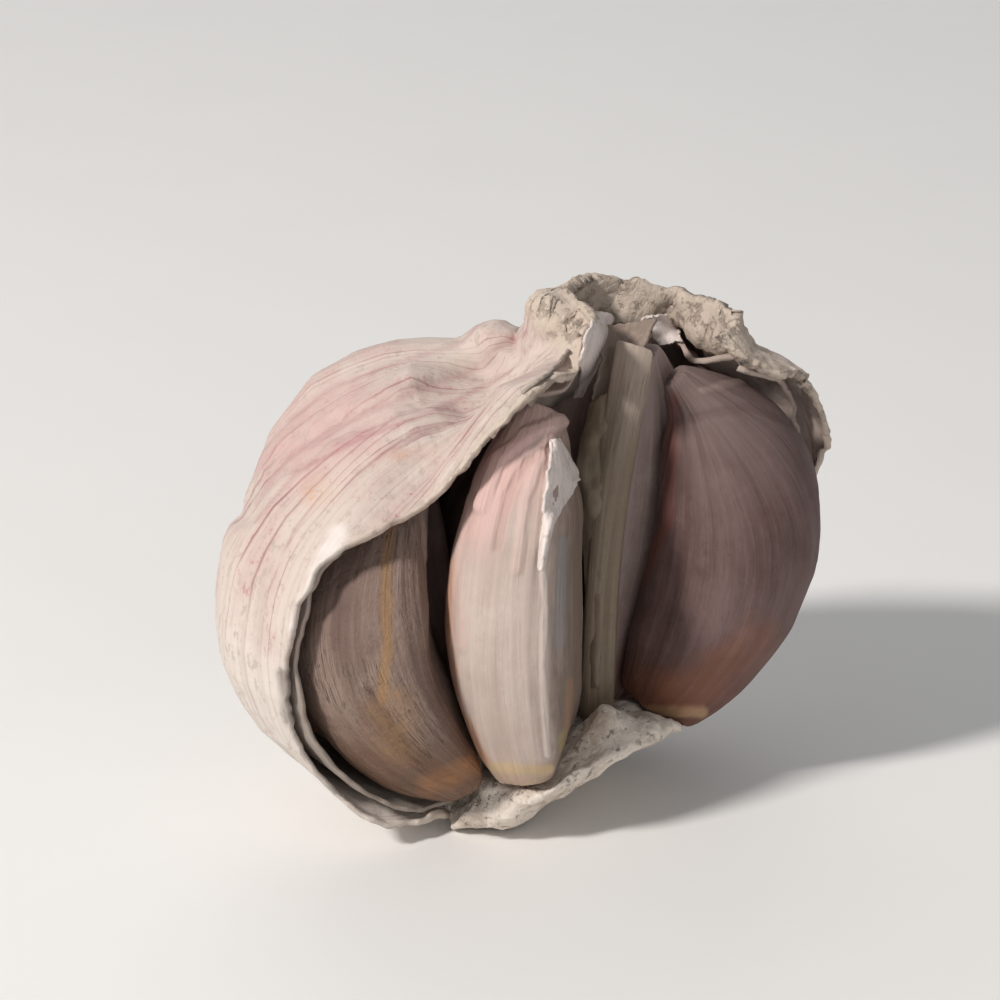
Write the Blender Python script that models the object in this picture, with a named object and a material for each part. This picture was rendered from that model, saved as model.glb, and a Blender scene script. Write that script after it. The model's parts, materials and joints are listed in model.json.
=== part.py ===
"""A broken-open garlic bulb, standing on its basal plate.

The front cloves are missing, so the bulb shows its stem, the flanks of the cloves that are
left and the torn edges of two papery wrappers, which close over the back, the left and the top.
Sizes are in millimetres, and are turned into metres when a mesh is made. +Z is up, -Y is the
broken front, and the origin is the middle of the small flat foot under the basal plate.
"""

import math
from dataclasses import dataclass

import bmesh
import bpy
import numpy as np
from mathutils import Vector, noise
from mathutils.bvhtree import BVHTree

MM = 0.001

# Driving dimensions, in millimetres.
PRESS_GAP = 0.45  # clearance between two cloves that grew against each other
PLATE_GAP = 0.4  # clearance over the basal plate
SKIN = 0.7  # thickness of a papery wrapper
SKIN_ROOM = 0.55  # from the cloves to the inner wrapper, and from that to the outer one
COLLAR = 1.7  # thickness of the crumbly torn collar round the neck
NECK_RADIUS = 5.0  # from the neck's axis to the inside of the inner wrapper
FOOT_CENTRE = (0.0, 2.6)  # middle of the flat foot as the tables have it; it is moved to the origin

CLOVE_AROUND = 20
CLOVE_ALONG = 14
PLATE_AROUND = 44
FAR = 80.0  # outside everything


@dataclass(frozen=True)
class Clove:
    """A clove, or the stalk: lofted along a bowed centre line from its foot to its beak."""

    name: str
    foot: tuple
    belly: tuple
    tip: tuple
    facing: float  # azimuth of the outer face, in degrees
    half_width: float
    outer: float  # centre line to outer face
    inner: float  # centre line to inner edge
    heel: float = 0.5  # 0 for a slender lower end, 1 for a full one
    crown: float = 0.1  # 0 for a slender upper end, 1 for a full one
    ridge: float = 0.15  # 0 for rounded side ridges, 1 for crisp ones


CLOVES = (
    Clove(
        "clove_front_left", (-2.8, -5.2, 6.4), (-11.6, -7.4, 18.4), (-6.4, -0.4, 37.4),
        facing=230, half_width=8.2, outer=6.2, inner=7.0, heel=0.6, crown=0.25,
    ),
    Clove(
        "clove_front", (1.6, -5.8, 7.2), (-0.2, -8.4, 22.0), (3.2, -3.4, 40.8),
        facing=226, half_width=6.2, outer=4.4, inner=12.4, heel=1.0, crown=0.7, ridge=1.0,
    ),
    Clove(
        "clove_inner_right", (9.6, 5.4, 8.4), (14.2, 9.2, 26.0), (13.4, 5.8, 42.8),
        facing=50, half_width=3.8, outer=3.0, inner=6.4, heel=0.3, crown=0.4,
    ),
    Clove(
        "clove_right", (14.0, 4.6, 8.6), (20.4, 5.2, 25.4), (15.3, 3.4, 41.0),
        facing=-6, half_width=8.2, outer=9.0, inner=9.0, heel=0.6, crown=0.15,
    ),
    Clove(
        "clove_left", (-4.6, -0.4, 6.8), (-15.8, -0.4, 19.0), (-5.0, 3.4, 38.6),
        facing=186, half_width=7.8, outer=7.6, inner=9.0, heel=0.2, crown=0.2,
    ),
    Clove(
        "clove_back_left", (-2.4, 4.0, 6.2), (-12.4, 9.4, 24.4), (0.6, 7.6, 38.0),
        facing=152, half_width=8.6, outer=7.8, inner=8.0, heel=0.1, crown=0.2,
    ),
    Clove(
        "clove_back", (3.6, 6.8, 5.4), (0.8, 14.6, 20.8), (8.2, 9.4, 40.6),
        facing=98, half_width=7.6, outer=6.8, inner=7.4, heel=0.7, crown=0.2,
    ),
    Clove(
        "clove_back_right", (9.8, 9.0, 6.6), (14.4, 15.6, 21.4), (13.8, 9.6, 40.2),
        facing=58, half_width=7.6, outer=6.0, inner=6.4, heel=0.6, crown=0.25,
    ),
)
STALK = Clove(
    "stalk", (8.9, 1.2, 8.8), (9.5, 0.6, 27.0), (12.4, 3.6, 43.8),
    facing=268, half_width=1.95, outer=1.6, inner=2.6,
)

# Share of the full girth along the length, foot to beak, for the slenderest and the fullest ends.
SLENDER = (
    (0.0, 0.32), (0.07, 0.52), (0.18, 0.78), (0.36, 1.0),
    (0.56, 0.94), (0.74, 0.66), (0.90, 0.28), (1.0, 0.10),
)
FULL = (
    (0.0, 0.64), (0.07, 0.86), (0.18, 0.98), (0.36, 1.0),
    (0.56, 0.99), (0.74, 0.92), (0.90, 0.68), (1.0, 0.40),
)
STALK_GIRTH = ((0.0, 0.9), (0.2, 0.84), (0.55, 0.86), (0.8, 0.95), (1.0, 1.15))

# The wrappers' fan of rays: share of the height, the ray's start, its rise and the fan's lean.
FAN = (
    (0.00, (2.5, 1.5, 9.5), -40, 0),
    (0.12, (2.0, 1.5, 11.5), -34, 0),
    (0.30, (1.5, 1.5, 15.0), -20, 0),
    (0.50, (2.0, 2.0, 20.0), 0, 2),
    (0.66, (2.5, 2.5, 23.0), 22, 6),
    (0.80, (4.0, 3.4, 26.5), 42, 13),
    (0.90, (8.6, 4.4, 32.0), 50, 18),
    (1.00, (13.6, 5.2, 41.0), 40, 6),
)


def smooth_curve(knots, t):
    """A smooth curve through knots of (place, value), read at t."""
    places = np.array([k[0] for k in knots], float)
    values = np.array([k[1] for k in knots], float)
    slopes = np.gradient(values, places, axis=0)
    t = np.clip(t, places[0], places[-1])
    cell = np.clip(np.searchsorted(places, t, side="right") - 1, 0, len(places) - 2)
    span = places[cell + 1] - places[cell]
    u = (t - places[cell]) / span
    if values.ndim > 1:
        span, u = span[..., None], u[..., None]
    rise, fall = slopes[cell] * span, slopes[cell + 1] * span
    return (
        values[cell] * (2 * u**3 - 3 * u**2 + 1)
        + rise * (u**3 - 2 * u**2 + u)
        + values[cell + 1] * (3 * u**2 - 2 * u**3)
        + fall * (u**3 - u**2)
    )


def unit(vectors):
    return vectors / np.linalg.norm(vectors, axis=-1, keepdims=True)


def bowed_line(foot, belly, tip, t):
    """Points at t on the curve through foot (0), belly (0.42) and tip (1)."""
    middle = 0.42
    t = t[:, None]
    a = (t - middle) * (t - 1) / middle
    b = t * (t - 1) / (middle * (middle - 1))
    c = t * (t - middle) / (1 - middle)
    return a * np.array(foot) + b * np.array(belly) + c * np.array(tip)


def wedge_section(angles, ridge):
    """(across, out) of a clove's outline: a domed outer face, two side ridges and flat flanks."""
    power = np.where(np.cos(angles) > 0, 0.82 + 0.4 * ridge, 1.5 + 0.6 * ridge)
    out = np.sign(np.cos(angles)) * np.abs(np.cos(angles)) ** power
    across = np.sign(np.sin(angles)) * np.abs(np.sin(angles)) ** power
    return across, out


def girth_along(clove, t):
    """Share of the clove's full girth at t, between the slenderest and the fullest ends."""
    if clove is STALK:
        return smooth_curve(STALK_GIRTH, t)
    slender, full = smooth_curve(SLENDER, t), smooth_curve(FULL, t)
    fullness = np.where(t < 0.36, clove.heel, clove.crown)
    return slender + (full - slender) * fullness


def clove_rings(clove):
    """The clove's surface before its neighbours press on it, as rings of points."""
    t = (1 - np.cos(np.linspace(0, math.pi, CLOVE_ALONG))) / 2
    centre = bowed_line(clove.foot, clove.belly, clove.tip, t)
    tangent = unit(np.gradient(centre, t, axis=0))
    facing = math.radians(clove.facing)
    outward = np.array([math.cos(facing), math.sin(facing), 0.0])
    outward = unit(outward - (tangent @ outward)[:, None] * tangent)
    sideways = np.cross(tangent, outward)
    girth = girth_along(clove, t)[:, None]
    across, out = wedge_section(np.linspace(0, 2 * math.pi, CLOVE_AROUND, endpoint=False), clove.ridge)
    depth = np.where(out > 0, clove.outer, clove.inner) * out
    return (
        centre[:, None, :]
        + sideways[:, None, :] * (girth * clove.half_width * across)[..., None]
        + outward[:, None, :] * (girth * depth)[..., None]
    )


def press_apart(cloves, rings):
    """Flattens the pieces against their neighbours, so that each pair keeps PRESS_GAP between them."""
    for i, first in enumerate(cloves):
        for j in range(i + 1, len(cloves)):
            second = cloves[j]
            ends = [np.array((c.foot, c.belly, c.tip)) for c in (first, second)]
            chord = unit((ends[0][2] + ends[1][2]) - (ends[0][0] + ends[1][0]))
            across = ends[1][1] - ends[0][1]
            normal = unit(across - (across @ chord) * chord)
            sizes = [c.half_width + c.outer + c.inner for c in (first, second)]
            middle = ends[0] + (ends[1] - ends[0]) * sizes[0] / (sizes[0] + sizes[1])
            for side, index in ((1, i), (-1, j)):
                points = rings[index]
                level = np.interp(points[..., 2], middle[:, 2], middle @ normal)
                past = ((points @ normal) - level) * side + PRESS_GAP / 2
                rings[index] = points - (np.maximum(past, 0) * side)[..., None] * normal
    return rings


def loft(rings):
    """(points, faces) of a closed body through rings of points, capped flat at both ends."""
    rows, around = rings.shape[:2]
    points = np.vstack([rings.reshape(-1, 3), rings[0].mean(0), rings[-1].mean(0)])
    faces = []
    for k in range(rows - 1):
        for j in range(around):
            n = (j + 1) % around
            faces.append((k * around + j, k * around + n, (k + 1) * around + n, (k + 1) * around + j))
    bottom, top = rows * around, rows * around + 1
    for j in range(around):
        n = (j + 1) % around
        faces.append((bottom, n, j))
        faces.append((top, (rows - 1) * around + j, (rows - 1) * around + n))
    return points, faces


def tree_of(bodies):
    """One search tree over several (points, faces) bodies."""
    points, faces, start = [], [], 0
    for body_points, body_faces in bodies:
        points += [Vector(p) for p in body_points]
        faces += [tuple(i + start for i in f) for f in body_faces]
        start += len(body_points)
    return BVHTree.FromPolygons(points, faces)


def fan_rays(share, azimuth):
    """(starts, directions) of the rays at these shares of the height and azimuths, in radians."""
    places = [f[0] for f in FAN]
    start = smooth_curve(list(zip(places, [f[1] for f in FAN])), share)
    rise = np.radians(smooth_curve(list(zip(places, [f[2] for f in FAN])), share))
    lean = np.radians(smooth_curve(list(zip(places, [f[3] for f in FAN])), share))
    x, y, z = np.cos(rise) * np.cos(azimuth), np.cos(rise) * np.sin(azimuth), np.sin(rise)
    direction = np.stack([x * np.cos(lean) + z * np.sin(lean), y, z * np.cos(lean) - x * np.sin(lean)], -1)
    return start, direction


class Drape:
    """How far out the wrappers lie along each ray: over the cloves, pulled taut between them."""

    ROWS, COLUMNS = 90, 144

    def __init__(self, tree):
        shares = np.linspace(0, 1, self.ROWS)
        azimuths = np.linspace(0, 2 * math.pi, self.COLUMNS, endpoint=False)
        share, azimuth = np.meshgrid(shares, azimuths, indexing="ij")
        start, direction = fan_rays(share, azimuth)
        least = ((0, 8.6), (0.12, 10.8), (0.3, 12), (0.7, 9), (0.9, 6.5), (1, NECK_RADIUS))
        floor = smooth_curve(least, share)
        to_left = np.maximum(-np.cos(azimuth), 0) ** 1.5
        floor += smooth_curve(((0, 0), (0.7, 0), (0.8, 0.6), (0.9, 4.7), (1, 0.5)), share) * to_left
        reach = floor.copy()
        for k, j in np.ndindex(share.shape):
            origin, ray = Vector(start[k, j]), Vector(direction[k, j])
            hit = tree.ray_cast(origin + ray * FAR, -ray, FAR)
            if hit[0] is not None:
                reach[k, j] = max(reach[k, j], (hit[0] - origin).length)
        bare = self.widened(reach)
        reach = bare.copy()
        for _ in range(14):
            reach = np.maximum(self.blurred(reach), bare)
        self.reach = np.maximum(self.blurred(reach, keep=0.4) + 0.1, bare)

    @staticmethod
    def widened(reach):
        """The greatest reach of each ray and its neighbours, so that flat facets clear the cloves."""
        up, down = np.vstack([reach[1:], reach[-1:]]), np.vstack([reach[:1], reach[:-1]])
        reach = np.maximum(reach, np.maximum(up, down))
        return np.maximum(reach, np.maximum(np.roll(reach, 1, 1), np.roll(reach, -1, 1)))

    @staticmethod
    def blurred(reach, keep=0.2):
        round_about = sum(np.roll(reach, step, 1) for step in (-2, -1, 1, 2)) / 4
        up = np.vstack([reach[1:], reach[-1:]])
        down = np.vstack([reach[:1], reach[:-1]])
        return keep * reach + (1 - keep) * (0.6 * round_about + 0.2 * (up + down))

    def __call__(self, share, azimuth):
        row = np.clip(share, 0, 1) * (self.ROWS - 1)
        column = np.mod(azimuth / (2 * math.pi), 1) * self.COLUMNS
        k = np.minimum(row.astype(int), self.ROWS - 2)
        j = column.astype(int) % self.COLUMNS
        n = (j + 1) % self.COLUMNS
        u, v = row - k, column - np.floor(column)
        return (
            self.reach[k, j] * (1 - u) * (1 - v)
            + self.reach[k + 1, j] * u * (1 - v)
            + self.reach[k, n] * (1 - u) * v
            + self.reach[k + 1, n] * u * v
        )


@dataclass(frozen=True)
class Wrapper:
    """One papery wrapper. Its torn edges are azimuths in degrees at shares of the height."""

    name: str
    room: float  # from the cloves to its inner face
    right_tear: tuple
    left_tear: tuple
    top: float
    seed: int
    rows: int
    columns: int
    collar: float = 0.0  # 1 where the torn edge near the neck is thick and crumbly


WRAPPERS = (
    Wrapper(
        "wrapper_inner",
        SKIN_ROOM,
        (
            (0.0, 62), (0.12, 52), (0.25, 40), (0.42, 33), (0.52, 30), (0.62, 23), (0.7, 18),
            (0.76, 14), (0.84, 5), (0.91, -9), (1.0, -30),
        ),
        (
            (0.0, 222), (0.1, 223), (0.2, 222), (0.3, 218), (0.42, 216), (0.53, 216),
            (0.63, 218), (0.69, 224), (0.76, 229), (0.83, 231), (0.9, 224), (1.0, 210),
        ),
        0.94,
        3,
        19,
        36,
    ),
    Wrapper(
        "wrapper_outer",
        2 * SKIN_ROOM + SKIN,
        (
            (0.0, 66), (0.12, 56), (0.25, 44), (0.42, 36), (0.52, 29), (0.62, 20), (0.7, 14),
            (0.76, 10), (0.84, 1), (0.91, -12), (1.0, -34),
        ),
        (
            (0.0, 222), (0.1, 224), (0.2, 220), (0.3, 214), (0.42, 213), (0.53, 216),
            (0.58, 217), (0.63, 223), (0.69, 230), (0.76, 238), (0.83, 241), (0.9, 232),
            (1.0, 214),
        ),
        1.0,
        8,
        25,
        46,
        1.0,
    ),
)


def torn(edge, shares, seed, depth=2.2):
    """A torn edge's azimuths in degrees: its curve with small seeded teeth."""
    teeth = [
        noise.noise(Vector((s * 16.0, seed * 7.3, 0.5)))
        + 0.5 * noise.noise(Vector((s * 41.0, seed * 1.7, 3.5)))
        for s in shares
    ]
    return smooth_curve(edge, shares) + depth * np.array(teeth)


def even_shares(drape, top, rows):
    """Shares of the height that are evenly spaced along the wrapper's left side."""
    fine = np.linspace(0, top, 200)
    azimuth = np.full(fine.shape, math.radians(200))
    start, direction = fan_rays(fine, azimuth)
    line = start + direction * drape(fine, azimuth)[:, None]
    steps = np.linalg.norm(np.diff(line, axis=0), axis=1) + 0.03
    along = np.concatenate([[0], np.cumsum(steps)])
    return np.interp(np.linspace(0, along[-1], rows), along, fine)


def wrapper_body(wrapper, drape):
    """(points, faces) of a wrapper: an outer and an inner sheet joined along the torn edges."""
    rows, columns = wrapper.rows, wrapper.columns
    shares = even_shares(drape, wrapper.top, rows)
    right = torn(wrapper.right_tear, shares, wrapper.seed)
    left = torn(wrapper.left_tear, shares, wrapper.seed + 1)
    u = np.linspace(0, 1, columns)
    u = u + 0.06 * np.sin(2 * math.pi * u)
    azimuth = np.radians(right[:, None] + (left - right)[:, None] * u[None, :])
    share = np.repeat(shares[:, None], columns, 1)
    start, direction = fan_rays(share, azimuth)
    near_neck = smooth_curve(((0, 0), (0.62, 0), (0.75, 0.35), (0.85, 0.8), (0.93, 1.0), (1.0, 1.0)), share)
    inner = drape(share, azimuth) + wrapper.room + 0.4 * wrapper.collar * near_neck
    from_edge = np.minimum(u, 1 - u)[None, :] * np.radians(left - right)[:, None] * inner
    near_edge = np.exp(-from_edge / 3.0)
    flared_edge = near_edge * np.where(u > 0.5, 1.0, 0.25)[None, :]
    near_top = smooth_curve(((0, 0), (0.88, 0), (0.96, 0.8), (1.0, 1.0)), share)
    places = zip(share.flat, azimuth.flat)
    grain = np.array([noise.noise(Vector((s * 22.0, a * 3.0, 1.5))) for s, a in places])
    grain = 1 + 0.45 * grain.reshape(share.shape)
    crumbly = wrapper.collar * np.maximum(near_edge * near_neck, 0.9 * near_top) * grain
    thickness = SKIN + (COLLAR - SKIN) * crumbly * np.where(u > 0.3, 1.0, 0.5)[None, :]
    lift = ((0, 1.6), (0.15, 1.4), (0.35, 0.3), (0.55, 0.4), (0.7, 0.9), (0.85, 0.6), (1, 0.1))
    flare = smooth_curve(lift, share)
    inner = inner + wrapper.collar * flare * flared_edge
    sheets = [start + direction * reach[..., None] for reach in (inner + thickness, inner)]
    count = rows * columns
    faces = []
    for k in range(rows - 1):
        for j in range(columns - 1):
            a, b = k * columns + j, k * columns + j + 1
            c, d = b + columns, a + columns
            faces.append((a, b, c, d))
            faces.append((count + d, count + c, count + b, count + a))
    border = [k * columns for k in range(rows - 1, 0, -1)]
    border += list(range(columns - 1))
    border += [k * columns + columns - 1 for k in range(rows - 1)]
    border += [(rows - 1) * columns + j for j in range(columns - 1, 0, -1)]
    for a, b in zip(border, border[1:] + border[:1]):
        faces.append((b, a, count + a, count + b))
    points = np.vstack([s.reshape(-1, 3) for s in sheets])
    low = 0.9 if wrapper.collar else SKIN + 1.2
    low = low + 1.5 * np.clip((-3.0 - points[:, 1]) / 7.0, 0, 1)
    low[count:] += SKIN
    points[:, 2] = np.maximum(points[:, 2], low)
    return points, faces


# The basal plate, seen from above: its middle, and its reach at azimuths in degrees.
PLATE_MIDDLE = (3.6, -0.5)
PLATE_REACH = (
    (0, 13.2), (18, 14.2), (35, 12.4), (60, 10.4), (90, 9.8), (130, 10.0), (180, 10.5), (215, 9.8),
    (240, 9.2), (265, 9.2), (290, 8.8), (325, 9.8), (345, 11.6), (360, 13.2),
)
# Height of its underside along x: flat under the left half, rising to the right.
PLATE_UNDER = (
    (-9, 2.2), (-5.5, 0.2), (-3.5, 0.0), (1.5, 0.0), (5.4, 2.9), (9, 5.0), (13.4, 6.7), (16.5, 8.5),
    (18.0, 9.4),
)
STUB = ((8.9, -3.6), 2.3, 12.6)  # middle, radius and top of the broken stub in front of the stalk


def plate_under(x, y):
    """Height of the basal plate's underside: it also rises toward the front."""
    front = np.clip((-4.2 - y) / 5.4, 0, 1)
    back = np.clip((y - 8.0) / 4.0, 0, 1)
    return smooth_curve(PLATE_UNDER, x - 0.9 * np.maximum(y - 1.0, 0)) + 4.4 * front**1.3 + 2.0 * back


def ceiling(tree, place):
    """The lowest height of the pieces above a place on the ground and just round it."""
    margin = 1.25 if place.x < 11.5 else 2.3
    up = Vector((0, 0, 1))
    steps = [Vector()]
    for azimuth in np.radians(np.arange(0, 360, 45)):
        steps.append(Vector((math.cos(azimuth), math.sin(azimuth), 0)) * margin)
    hits = [tree.ray_cast(place + step - up, up, FAR)[0] for step in steps]
    return min((hit.z for hit in hits if hit is not None), default=FAR)


def plate_body(all_tree, wrapper_tree):
    """(points, faces) of the basal plate: a chalky lump that fills the room under the cloves."""
    azimuths = np.linspace(0, 2 * math.pi, PLATE_AROUND, endpoint=False)
    reach = smooth_curve([(math.radians(a), r) for a, r in PLATE_REACH], azimuths)
    for j, azimuth in enumerate(azimuths):
        ray = Vector((math.cos(azimuth), math.sin(azimuth), 0))
        reach[j] *= 1 + 0.07 * noise.noise(ray * 4.0) + 0.05 * noise.noise(ray * 9.0)
        for level in (0.4, 1.0, 1.8, 2.6, 3.4, 4.2, 5.0, 6.0):
            hit = wrapper_tree.ray_cast(Vector((*PLATE_MIDDLE, level)), ray, FAR)
            if hit[0] is not None:
                reach[j] = min(reach[j], hit[3] - PLATE_GAP)
    reach = np.minimum(reach, np.minimum(np.roll(reach, 1), np.roll(reach, -1)) + 1.0)
    shares = np.array([0.12, 0.3, 0.48, 0.64, 0.78, 0.9, 1.0])
    share, azimuth = np.meshgrid(shares, azimuths, indexing="ij")
    x = PLATE_MIDDLE[0] + share * reach * np.cos(azimuth)
    y = PLATE_MIDDLE[1] + share * reach * np.sin(azimuth)
    under = plate_under(x, y)
    top = np.zeros(x.shape)
    for k, j in np.ndindex(x.shape):
        place = Vector((x[k, j], y[k, j], 0))
        rough = 0.5 * noise.noise(place * 0.45) + 0.3 * noise.noise(place * 1.1)
        if under[k, j] > 0.3:
            under[k, j] += 0.9 * rough
        off_stub = math.hypot(x[k, j] - STUB[0][0], y[k, j] - STUB[0][1]) / STUB[1]
        height = 8.2 + rough + 1.3 * min(max((x[k, j] - 9) / 4, 0), 1)
        height += max(0.0, 1.2 - off_stub) * (STUB[2] - height)
        limit = ceiling(all_tree, place) - PLATE_GAP
        under[k, j] = min(under[k, j], limit - 0.75)
        height = min(height, STUB[2], limit)
        if shares[k] == 1.0:
            height = min(height, under[k, j] + 1.0)
        top[k, j] = max(height, under[k, j] + 0.7)
    under = np.maximum(under, 0.0)
    rings = [np.stack([x[k], y[k], under[k]], -1) for k in range(len(shares))]
    rings += [np.stack([x[k], y[k], top[k]], -1) for k in range(len(shares) - 1, -1, -1)]
    return loft(np.array(rings))


# Linear colour and roughness of each piece.
FINISHES = {
    "clove_front_left": ((0.30, 0.20, 0.17), 0.55),
    "clove_front": ((0.56, 0.45, 0.40), 0.55),
    "clove_inner_right": ((0.32, 0.23, 0.21), 0.55),
    "clove_right": ((0.26, 0.17, 0.155), 0.5),
    "clove_left": ((0.42, 0.31, 0.28), 0.55),
    "clove_back_left": ((0.42, 0.31, 0.28), 0.55),
    "clove_back": ((0.42, 0.31, 0.28), 0.55),
    "clove_back_right": ((0.42, 0.31, 0.28), 0.55),
    "stalk": ((0.29, 0.25, 0.20), 0.7),
    "wrapper_inner": ((0.62, 0.54, 0.49), 0.7),
    "wrapper_outer": ((0.66, 0.58, 0.53), 0.75),
    "basal_plate": ((0.60, 0.52, 0.44), 0.9),
}


def add_piece(name, body, colour, roughness):
    """One named object from (points, faces) in millimetres, with its own material."""
    points, faces = body
    mesh = bpy.data.meshes.new(name)
    shift = Vector((*FOOT_CENTRE, 0))
    mesh.from_pydata([(Vector(p) - shift) * MM for p in points], [], faces)
    shape = bmesh.new()
    shape.from_mesh(mesh)
    bmesh.ops.triangulate(shape, faces=[f for f in shape.faces if len(f.verts) > 3])
    if shape.calc_volume(signed=True) < 0:
        bmesh.ops.reverse_faces(shape, faces=shape.faces)
    shape.to_mesh(mesh)
    shape.free()
    mesh.shade_smooth()
    obj = bpy.data.objects.new(name, mesh)
    bpy.context.scene.collection.objects.link(obj)
    material = bpy.data.materials.new(name)
    material.use_nodes = True
    shader = material.node_tree.nodes["Principled BSDF"]
    shader.inputs["Base Color"].default_value = (*colour, 1.0)
    shader.inputs["Roughness"].default_value = roughness
    shader.inputs["Metallic"].default_value = 0.0
    mesh.materials.append(material)
    return obj


def main():
    for obj in list(bpy.data.objects):
        bpy.data.objects.remove(obj)
    grown = (*CLOVES, STALK)
    rings = press_apart(grown, [clove_rings(c) for c in grown])
    bodies = {c.name: loft(r) for c, r in zip(grown, rings)}
    drape = Drape(tree_of([bodies[c.name] for c in CLOVES]))
    for wrapper in WRAPPERS:
        bodies[wrapper.name] = wrapper_body(wrapper, drape)
    wrapper_tree = tree_of([bodies[w.name] for w in WRAPPERS])
    bodies["basal_plate"] = plate_body(tree_of(bodies.values()), wrapper_tree)
    for name, body in bodies.items():
        add_piece(name, body, *FINISHES[name])


if __name__ == "__main__":
    main()
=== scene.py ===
"""Looks of a broken-open garlic bulb: papery wrappers, cloves, stalk and basal plate.

Lengths are in millimetres until a mesh is made. +Z is up, -Y is the broken front, and the origin
is the middle of the flat foot. Places on the front are given on an elevation drawing, which looks
down at 22 degrees and has 0.09 mm to a step, counted right and down from its upper left corner.
"""

import json
import logging
import math
from dataclasses import dataclass, field
from enum import Enum

import bpy
import numpy as np
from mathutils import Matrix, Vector, noise
from mathutils.bvhtree import BVHTree

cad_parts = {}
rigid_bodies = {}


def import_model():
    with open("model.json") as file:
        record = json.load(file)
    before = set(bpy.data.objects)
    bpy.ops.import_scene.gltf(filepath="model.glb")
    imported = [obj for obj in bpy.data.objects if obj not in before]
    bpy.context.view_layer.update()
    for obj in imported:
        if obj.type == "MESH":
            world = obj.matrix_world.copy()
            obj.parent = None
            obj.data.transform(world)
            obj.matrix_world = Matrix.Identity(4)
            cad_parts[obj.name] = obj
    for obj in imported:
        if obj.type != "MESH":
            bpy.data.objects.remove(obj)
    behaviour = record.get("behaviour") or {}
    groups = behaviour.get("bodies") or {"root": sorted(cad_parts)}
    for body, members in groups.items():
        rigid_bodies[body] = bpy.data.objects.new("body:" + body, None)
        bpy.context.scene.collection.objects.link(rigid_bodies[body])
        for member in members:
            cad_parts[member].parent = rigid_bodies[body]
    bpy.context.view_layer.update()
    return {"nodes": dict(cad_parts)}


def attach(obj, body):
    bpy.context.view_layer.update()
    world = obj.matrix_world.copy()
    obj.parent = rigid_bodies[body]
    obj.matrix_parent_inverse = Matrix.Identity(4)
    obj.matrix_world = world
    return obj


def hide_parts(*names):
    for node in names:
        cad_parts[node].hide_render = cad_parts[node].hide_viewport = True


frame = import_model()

log = logging.getLogger("garlic")

MM = 0.001
FOOT_SHIFT = np.array((0.0, 2.6, 0.0))  # from the tables of places to the foot's middle
FAR = 80.0  # further than any solid reaches
STEP = 0.09  # millimetres to a step of the elevation drawing
TILT = math.radians(22.0)
DRAWN_RIGHT, DRAWN_DOWN = 501, 755  # where the drawing shows the point (0, DRAWN_Y, DRAWN_Z)
DRAWN_Y, DRAWN_Z = -0.6, 5
MIXERS = (374761393, 668265263, 2246822519)  # large odd numbers that scatter the noise's cells
FADE = 0.55  # strength of each layer of noise, against the one before
WIDEST_WALL = 1.6  # millimetres, a paper wall's thickness at a weight of 1
TOWARD_VIEWER = np.array((0.0, -math.cos(TILT), math.sin(TILT)))

Colour = tuple[float, float, float]
Array = np.ndarray


def tint(red: int, green: int, blue: int) -> Colour:
    """A display colour, 0 to 255, as linear light."""
    shares = (red / 255, green / 255, blue / 255)
    return tuple(s / 12.92 if s <= 0.04045 else ((s + 0.055) / 1.055) ** 2.4 for s in shares)


def smooth_curve(knots: tuple, t: Array) -> Array:
    """A smooth curve through knots, read at t.

    Args:
        knots: pairs of place and value, in order of place.
        t: places to read it at.

    Returns:
        The values, with the shape of t and of one value.
    """
    places = np.array([k[0] for k in knots], float)
    values = np.array([k[1] for k in knots], float)
    slopes = np.gradient(values, places, axis=0)
    t = np.clip(t, places[0], places[-1])
    cell = np.clip(np.searchsorted(places, t, side="right") - 1, 0, len(places) - 2)
    span = places[cell + 1] - places[cell]
    u = (t - places[cell]) / span
    if values.ndim > 1:
        span, u = span[..., None], u[..., None]
    rise, fall = slopes[cell] * span, slopes[cell + 1] * span
    return (
        values[cell] * (2 * u**3 - 3 * u**2 + 1)
        + rise * (u**3 - 2 * u**2 + u)
        + values[cell + 1] * (3 * u**2 - 2 * u**3)
        + fall * (u**3 - u**2)
    )


def smooth_step(low: float, high: float, value: Array) -> Array:
    """0 up to low, 1 from high on, and a smooth rise between them."""
    share = np.clip((value - low) / (high - low), 0, 1)
    return share * share * (3 - 2 * share)


def grain(points: Array, size: float | tuple, seed: int = 0, octaves: int = 2) -> Array:
    """Smooth seeded noise from -1 to 1.

    Args:
        points: places, one a row, of three numbers each.
        size: width of the largest lumps, one for all axes or one for each.
        seed: picks another pattern.
        octaves: layers of lumps, each half the size of the one before.

    Returns:
        One number for each place.
    """
    total, strength, weight = np.zeros(points.shape[:-1]), 1.0, 0.0
    for octave in range(octaves):
        place = points / np.array(size) * 2.0**octave + seed * 17.31
        cell = np.floor(place).astype(np.int64)
        part = place - cell
        part = part * part * (3 - 2 * part)
        layer = np.zeros(total.shape)
        for corner in np.ndindex(2, 2, 2):
            at = (cell + np.array(corner)).astype(np.uint32)
            mixed = sum(at[..., axis] * np.uint32(mixer) for axis, mixer in enumerate(MIXERS))
            mixed = mixed + np.uint32(seed * 3266489 + octave)
            mixed = (mixed ^ (mixed >> np.uint32(13))) * np.uint32(1274126177)
            mixed = mixed ^ (mixed >> np.uint32(16))
            share = np.where(np.array(corner) == 1, part, 1 - part).prod(-1)
            layer += share * (mixed.astype(float) / 2**31 - 1)
        total += strength * layer
        weight += strength
        strength *= FADE
    return total / weight


def unit(vectors: Array) -> Array:
    """The vectors at length 1."""
    return vectors / np.maximum(np.linalg.norm(vectors, axis=-1, keepdims=True), 1e-9)


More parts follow.
